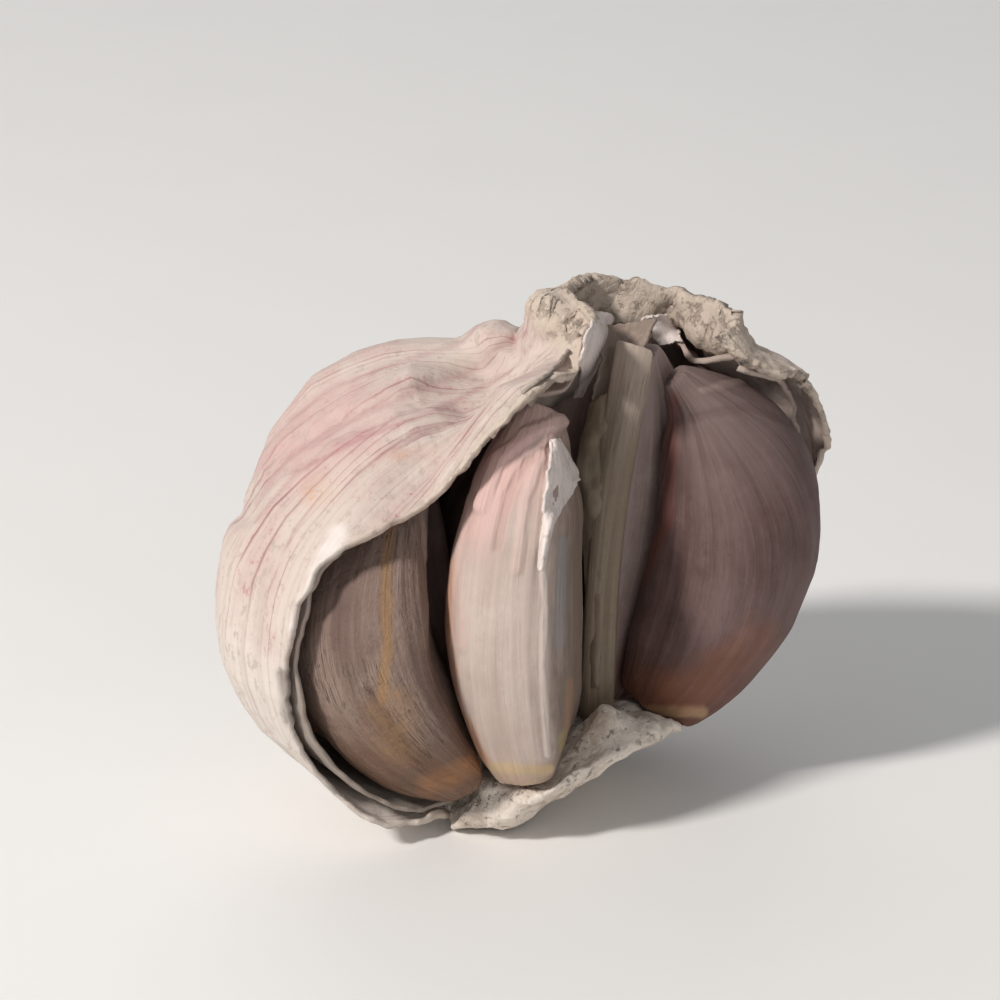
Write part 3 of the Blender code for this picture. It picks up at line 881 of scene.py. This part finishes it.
@dataclass
class Clove:
    """A clove, or the stalk, over its solid: streaked relief, strokes and skin."""

    node: str
    foot: tuple  # foot, belly and tip of its centre line, before FOOT_SHIFT
    belly: tuple
    tip: tuple
    facing: float  # azimuth of its outer side, in degrees
    skin: Skin
    levels: int = 3  # of subdivision
    rugged: float = 1.0  # share of the full relief
    strokes: tuple = ()

    def run(self, points: Array) -> Array:
        """Where points lie on the clove.

        Args:
            points: points in millimetres.

        Returns:
            For each, the cosine and sine of its turn about the centre line, and its share
            of the clove's length.
        """
        ends = [np.array(p, float) - FOOT_SHIFT for p in (self.foot, self.belly, self.tip)]
        chord = ends[2] - ends[0]
        t = np.clip((points - ends[0]) @ chord / (chord @ chord), 0, 1)
        middle = 0.42
        parts = (
            (t - middle) * (t - 1) / middle,
            t * (t - 1) / (middle * (middle - 1)),
            t * (t - middle) / (1 - middle),
        )
        centre = sum(p[:, None] * e for p, e in zip(parts, ends))
        along = unit(chord)
        facing = math.radians(self.facing)
        out = np.array((math.cos(facing), math.sin(facing), 0.0))
        out = unit(out - (out @ along) * along)
        side = np.cross(along, out)
        off = points - centre
        turn = np.arctan2(off @ side, off @ out)
        return np.stack([np.cos(turn), np.sin(turn), t], -1)

    def build(self) -> bpy.types.Object:
        """Subdivides a copy of the solid, adds the skin's relief and dresses it."""
        piece = Piece.from_node(self.node + "_skin", self.node, self.levels)
        points, normals = piece.points, piece.normals
        run = self.run(points)
        ribs = grain(run, (0.16, 0.16, 0.55), 3, 3) * 0.13 + grain(run, (0.5, 0.5, 0.7), 5, 2) * 0.14
        dents = grain(points, 6.0, 21, 2) * 0.26 + grain(points, 1.5, 22, 2) * 0.05
        piece.points = points + normals * (self.rugged * (ribs + dents))[:, None]
        piece.keep("run", run)
        piece.paint(self.strokes)
        return piece.finish(self.skin, self.node, (self.node,))


@dataclass
class BasalPlate:
    """The chalky plate that the cloves grew from, with its broken stub and root scar."""

    node: str = "basal_plate"
    levels: int = 3
    ledge_rise: float = 1.3  # closes the gap under the right clove
    strokes: tuple = ()

    def build(self) -> bpy.types.Object:
        """Subdivides a copy of the solid and crumbles its faces; the foot stays flat."""
        piece = Piece.from_node(self.node + "_chalk", self.node, self.levels)
        points, normals = piece.points, piece.normals
        lumps = grain(points, 3.4, 31, 3) * 0.5 + grain(points, 1.1, 32, 3) * 0.3
        clear = smooth_step(0.2, 1.2, points[:, 2])
        moved = points + normals * (lumps * clear)[:, None]
        ledge = smooth_step(7.5, 12.0, points[:, 0]) * smooth_step(1.0, 4.0, points[:, 2])
        moved[:, 2] = np.maximum(moved[:, 2] + self.ledge_rise * ledge, 0.0)
        piece.points = moved
        piece.paint(self.strokes)
        return piece.finish(Skin.CHALK, self.node, (self.node,))


@dataclass
class Membrane:
    """A thin torn sheet between two lines on the drawing, set just in front of what carries it."""

    name: str
    first: tuple  # (right, down, forward) places along one long edge
    second: tuple  # the same along the other
    slot: str = "wrapper_inner"
    skin: Skin = Skin.MEMBRANE
    curl: float = 0.6  # millimetres that its middle stands toward the viewer
    ragged: float = 0.5
    seed: int = 1
    columns: int = 24
    rows: int = 60
    thickness: float = 0.28
    deep: bool = False  # the third number is a depth y, and not how far in front of the solids

    def build(self, front: Front) -> bpy.types.Object:
        """Bends a grid between the two lines, tears its edges and gives it thickness.

        Args:
            front: finds what the membrane hangs in front of.

        Returns:
            The object.
        """
        piece = Piece.from_grid(self.name, self.columns, self.rows)
        flat = piece.points * MM
        u, v = (flat[:, 0] + 1) / 2, (flat[:, 1] + 1) / 2
        ends = []
        for line in (self.first, self.second):
            ends.append(np.array([off_drawing(*s) if self.deep else front.point(*s) for s in line]))
        seed = np.array((self.seed * 9.1, 0.0, 0.0))
        edge = np.stack([v * 30, np.zeros(v.shape), np.zeros(v.shape)], -1) + seed
        worn = grain(edge, 3.0, self.seed, 3) * (1 - u) + grain(edge, 2.4, self.seed + 1, 3) * u
        u = u + 0.35 * self.ragged * worn
        v = v + 0.08 * self.ragged * grain(np.stack([u * 9, v, v * 0], -1) + seed, 1.5, self.seed, 3)
        lines = []
        for spots in ends:
            lines.append(smooth_curve(tuple(zip(np.linspace(0, 1, len(spots)), spots)), v))
        places = lines[0] * (1 - u)[:, None] + lines[1] * u[:, None]
        bulge = self.curl * np.sin(math.pi * np.clip(u, 0, 1)) + 0.7 * grain(places, 2.4, self.seed, 3)
        piece.points = places + TOWARD_VIEWER * bulge[:, None]
        piece.keep("run", np.stack([u * 0.3, v * 0.05, v * 0.4], -1))
        piece.keep("crumb", np.full(len(u), 0.05))
        piece.paint(())
        wall = piece.obj.modifiers.new("wall", "SOLIDIFY")
        wall.thickness = self.thickness * MM
        wall.offset = 0.0
        piece.apply(wall)
        return piece.finish(self.skin, self.slot)


@dataclass
class Studio:
    """A pale floor, soft light and the camera."""

    aim: Colour = (-0.0001, -0.0006, 0.02976)
    distance: float = 0.28
    sensor: float = 36.0
    frame_width: float = 0.09
    floor_radius: float = 1.2
    lamp_distance: float = 0.9
    floor_colour: Colour = tint(236, 234, 231)

    def floor(self) -> bpy.types.Object:
        """A large disc under the bulb."""
        Piece.deselect()
        bpy.ops.mesh.primitive_circle_add(vertices=96, radius=self.floor_radius, fill_type="NGON")
        disc = bpy.context.object
        disc.name = "floor"
        g = Graph("floor")
        mottle = g.noise(g.place(), 40.0, 3.0)
        dark = tuple(0.97 * c for c in self.floor_colour)
        g.finish(g.mix(dark, self.floor_colour, mottle), 0.8, mottle, 0.05, 0.5)
        disc.data.materials.append(g.material)
        return disc

    def lamp(self, name: str, toward: tuple, energy: float, size: float, colour: Colour) -> None:
        """An area light that shines on the bulb.

        Args:
            name: its name.
            toward: the way its light travels.
            energy: its power in watts.
            size: its width in metres.
            colour: its colour in linear light.
        """
        data = bpy.data.lights.new(name, "AREA")
        data.shape = "DISK"
        data.energy = energy
        data.size = size
        data.color = colour
        lamp = bpy.data.objects.new(name, data)
        way = Vector(toward).normalized()
        lamp.location = Vector(self.aim) - way * self.lamp_distance
        lamp.rotation_mode = "QUATERNION"
        lamp.rotation_quaternion = way.to_track_quat("-Z", "Y")
        bpy.context.scene.collection.objects.link(lamp)

    def build(self) -> None:
        """Sets the floor, the lights, the surroundings and the camera."""
        self.floor()
        self.lamp("key", (0.66, 0.5, -0.7), 7.4, 0.12, (1.0, 0.97, 0.94))
        self.lamp("fill", (-0.35, 0.8, -0.35), 0.9, 0.9, (0.95, 0.97, 1.0))
        self.lamp("back", (0.1, -0.75, -0.6), 1.3, 0.8, (1.0, 1.0, 1.0))
        world = bpy.data.worlds.new("studio")
        world.use_nodes = True
        sky = world.node_tree.nodes["Background"]
        sky.inputs[0].default_value = (0.95, 0.97, 1.0, 1.0)
        sky.inputs[1].default_value = 0.3
        bpy.context.scene.view_settings.view_transform = "Standard"
        bpy.context.scene.world = world
        lens = bpy.data.cameras.new("camera")
        lens.sensor_width = self.sensor
        lens.lens = self.sensor * self.distance / self.frame_width
        camera = bpy.data.objects.new("camera", lens)
        camera.location = Vector(self.aim) + Vector(TOWARD_VIEWER) * self.distance
        camera.rotation_mode = "QUATERNION"
        camera.rotation_quaternion = Vector(-TOWARD_VIEWER).to_track_quat("-Z", "Y")
        bpy.context.scene.collection.objects.link(camera)
        bpy.context.scene.camera = camera


WRAPPERS = (
    Wrapper(
        "wrapper_inner",
        (
            (0.0, 62), (0.12, 52), (0.25, 40), (0.42, 33), (0.52, 30), (0.62, 23),
            (0.7, 18), (0.76, 14), (0.84, 5), (0.91, -9), (1.0, -30)
        ),
        (
            (0.0, 222), (0.1, 223), (0.2, 222), (0.3, 218), (0.42, 216), (0.53, 216),
            (0.63, 218), (0.69, 224), (0.76, 229), (0.83, 231), (0.9, 224), (1.0, 210)
        ),
        0.94, 3, Skin.SHADED_INNER_PAPER, 180, 120, 0.3,
    ),
    Wrapper(
        "wrapper_outer",
        (
            (0.0, 66), (0.12, 56), (0.25, 44), (0.42, 36), (0.52, 29), (0.62, 20),
            (0.7, 14), (0.76, 10), (0.84, 1), (0.91, -12), (1.0, -34)
        ),
        (
            (0.0, 222), (0.1, 224), (0.2, 220), (0.3, 214), (0.42, 213), (0.53, 216),
            (0.58, 217), (0.63, 223), (0.69, 230), (0.76, 238), (0.83, 241), (0.9, 232),
            (1.0, 214)
        ),
        1.0, 8, Skin.OUTER_PAPER, 250, 180, 1.0,
        strokes=(
            Stroke(((310, 440), (345, 425)), 70, tint(204, 160, 158), 0.4),
            Stroke(((270, 470), (310, 420), (350, 395)), 26, tint(190, 128, 132), 0.45, flecks=0.6),
            Stroke(((300, 470), (345, 440), (400, 425)), 12, tint(176, 104, 112), 0.5, flecks=0.8),
            Stroke(((325, 492),), 26, tint(206, 146, 84), 0.6, flecks=0.7),
            Stroke(((380, 458), (435, 455)), 14, tint(196, 132, 96), 0.45, flecks=0.8),
            Stroke(
                ((243, 512), (272, 470), (330, 430), (420, 396), (520, 350), (596, 306)),
                20, lift=-0.7,
            ),
            Stroke(((498, 336), (534, 316)), 38, lift=1.8),
            Stroke(
                ((252, 500), (285, 455), (345, 418), (430, 384), (530, 340)),
                5, tint(160, 112, 116), 0.4,
            ),
            Stroke(
                ((262, 520), (300, 474), (365, 440), (440, 412), (510, 372)),
                4, tint(166, 112, 116), 0.45,
            ),
            Stroke(((286, 420), (330, 388), (400, 362), (500, 330)), 4, tint(164, 112, 118), 0.4),
            # painted highlight: a near-white band where the thin curled edge of the lower flap catches
            # the light, raised 0.1 mm
            Stroke(((346, 532), (326, 572), (306, 625)), 15, tint(238, 230, 224), 0.7, 0.1),
            Stroke(((289, 668), (293, 716)), 8, tint(84, 72, 66), 0.7, -0.25),
        ),
    ),
)

CLOVES = (
    Clove(
        "clove_front_left", (-2.8, -5.2, 6.4), (-11.6, -7.4, 18.4), (-6.4, -0.4, 37.4), 230,
        Skin.MAUVE_CLOVE, 4,
        strokes=(
            Stroke(((400, 490), (390, 560), (392, 640), (386, 690)), 8, tint(160, 120, 66), 0.6),
            Stroke(((395, 700), (400, 740)), 34, tint(156, 120, 74), 0.5, flecks=0.4),
            Stroke(((430, 782), (485, 757)), 18, tint(196, 136, 82), 0.5, flecks=0.3),
            Stroke(((350, 640), (362, 560), (385, 500)), 40, tint(106, 86, 80), 0.4),
            Stroke(((330, 745), (400, 775)), 22, tint(104, 78, 62), 0.45),
            Stroke(((340, 640), (352, 560), (372, 510)), 9, tint(96, 76, 70), 0.4),
            Stroke(((425, 490), (431, 555)), 7, tint(176, 158, 150), 0.5, 0.12),
        ),
    ),
    Clove(
        "clove_front", (1.6, -5.8, 7.2), (-0.2, -8.4, 22.0), (3.2, -3.4, 40.8), 226,
        Skin.PALE_CLOVE, 4,
        strokes=(
            Stroke(((470, 520), (500, 470)), 46, tint(216, 170, 164), 0.5),
            Stroke(((452, 560), (447, 640), (458, 705), (482, 757)), 10, tint(206, 142, 100), 0.65),
            # painted shade: the front clove's right flank, turned away from the key light, in an
            # olive-brown that is partly its own colour and partly painted shade
            Stroke(((588, 430), (582, 560), (582, 660), (574, 775)), 46, tint(116, 101, 88), 1.0),
            Stroke(((560, 540), (558, 640)), 9, tint(140, 140, 142), 0.7),
            Stroke(((578, 560), (576, 680)), 7, tint(112, 92, 76), 0.5),
            Stroke(((569, 680), (567, 762)), 6, tint(178, 128, 84), 0.5),
            Stroke(((562, 735), (568, 765)), 10, tint(168, 150, 84), 0.6),
            Stroke(
                ((546, 480), (540, 540), (543, 600), (541, 660), (547, 750)),
                5, tint(226, 214, 204), 0.5, 0.14,
            ),
            Stroke(((566, 420), (524, 438), (498, 462), (482, 506)), 10, tint(214, 178, 170), 0.6, 0.4),
            Stroke(
                ((560, 444), (526, 462), (508, 492), (496, 546)), 7, tint(168, 130, 120), 0.35, -0.24
            ),
            Stroke(((540, 456), (524, 500), (516, 566)), 7, tint(218, 188, 180), 0.3, 0.2),
            Stroke(((466, 500), (458, 560), (462, 640)), 9, tint(206, 170, 160), 0.4, 0.12),
            Stroke(((492, 764), (548, 766)), 9, tint(206, 178, 130), 0.7),
        ),
    ),
    Clove(
        "clove_inner_right", (9.6, 5.4, 8.4), (14.2, 9.2, 26.0), (13.4, 5.8, 42.8), 50,
        Skin.SLIM_CLOVE,
    ),
    Clove(
        "clove_right", (14.0, 4.6, 8.6), (20.4, 5.2, 25.4), (15.3, 3.4, 41.0), -6,
        Skin.SHADED_UMBER_CLOVE, 4,
        strokes=(
            Stroke(((612, 714), (660, 716), (706, 716)), 9, tint(190, 158, 122), 0.75, 0.1),
            Stroke(((640, 695), (700, 690), (760, 640)), 34, tint(148, 92, 62), 0.35),
            Stroke(((632, 600), (668, 520), (672, 400)), 9, tint(120, 60, 50), 0.5),
            # painted light: a pale band where light falls past the collar onto the top crease, then
            # painted shade in the crease below it
            Stroke(((700, 392), (750, 380), (800, 398)), 6, tint(170, 146, 138), 0.3, 0.14),
            Stroke(((690, 420), (750, 408), (812, 430)), 7, tint(90, 66, 64), 0.3, -0.12),
        ),
    ),
    Clove(
        "clove_left", (-4.6, -0.4, 6.8), (-15.8, -0.4, 19.0), (-5.0, 3.4, 38.6), 186,
        Skin.TAWNY_CLOVE, 2,
    ),
    Clove(
        "clove_back_left", (-2.4, 4.0, 6.2), (-12.4, 9.4, 24.4), (0.6, 7.6, 38.0), 152,
        Skin.TAWNY_CLOVE, 2,
    ),
    Clove(
        "clove_back", (3.6, 6.8, 5.4), (0.8, 14.6, 20.8), (8.2, 9.4, 40.6), 98,
        Skin.TAWNY_CLOVE, 2,
    ),
    Clove(
        "clove_back_right", (9.8, 9.0, 6.6), (14.4, 15.6, 21.4), (13.8, 9.6, 40.2), 58,
        Skin.SHADED_UMBER_CLOVE, 3,
    ),
    Clove(
        "stalk", (8.9, 1.2, 8.8), (9.5, 0.6, 27.0), (12.4, 3.6, 43.8), 268,
        Skin.OLIVE_STALK, 3, rugged=0.4,
    ),
)

MEMBRANES = (
    Membrane(
        "neck_membrane_left",
        ((592, 312, 2.2), (586, 334, 3.0), (578, 362, 3.0), (580, 378, 2.6), (574, 396, 1.4)),
        ((612, 314, 2.0), (610, 336, 2.8), (606, 350, 2.8), (592, 376, 2.4), (582, 396, 1.2)),
        ragged=0.7,
    ),
    Membrane(
        "neck_membrane_right",
        ((644, 316, 0.6), (648, 328, 0.9), (660, 342, 0.9)),
        ((666, 312, 0.6), (678, 324, 0.8), (684, 340, 0.6)),
        seed=4,
        ragged=0.8,
    ),
    Membrane(
        "collar_lining",
        ((520, 398, 0.4), (545, 380, 0.5), (562, 362, 0.4), (576, 338, 0.3)),
        ((532, 414, -1.4), (560, 402, -1.2), (582, 392, -1.0), (596, 352, -0.6)),
        skin=Skin.SHADED_INNER_PAPER,
        seed=5,
    ),
    Membrane(
        "clove_front_fin",
        ((549, 442, 0.3), (548, 470, 0.5), (543, 500, 0.5), (539, 536, 0.3), (536, 566, 0.2)),
        ((557, 440, 0.9), (575, 474, 0.8), (572, 490, 0.8), (551, 522, 0.6), (541, 568, 0.4)),
        slot="clove_front",
        ragged=0.5,
        curl=1.0,
        seed=6,
    ),
    Membrane(
        "stalk_sheath",
        ((590, 404, 1.2), (576, 470, -0.6), (584, 560, -1.8), (590, 690, -2.4)),
        ((606, 392, 0.2), (610, 470, -2.2), (606, 560, -3.2), (600, 690, -3.2)),
        slot="stalk",
        skin=Skin.OLIVE_STALK,
        curl=0.4,
        ragged=0.5,
        seed=11,
        deep=True,
    ),
    Membrane(
        "neck_wall",
        ((600, 326, 2.6), (598, 360, 1.8), (592, 400, 1.0), (594, 440, 0.2)),
        ((656, 320, 3.4), (640, 352, 1.0), (628, 400, -0.4), (622, 440, -0.8)),
        slot="stalk",
        skin=Skin.SHADED_MEMBRANE,
        curl=-1.2,
        ragged=0.4,
        seed=13,
        deep=True,
    ),
)


def main() -> None:
    """Builds the wrappers, the cloves, the plate, the membranes and the studio in order."""
    logging.basicConfig(level=logging.INFO, format="%(message)s")
    Piece.deselect()
    front = Front()
    for wrapper in WRAPPERS:
        wrapper.build()
    for clove in CLOVES:
        clove.build()
    BasalPlate().build()
    for membrane in MEMBRANES:
        membrane.build(front)
    Studio().build()


if __name__ == "__main__":
    main()
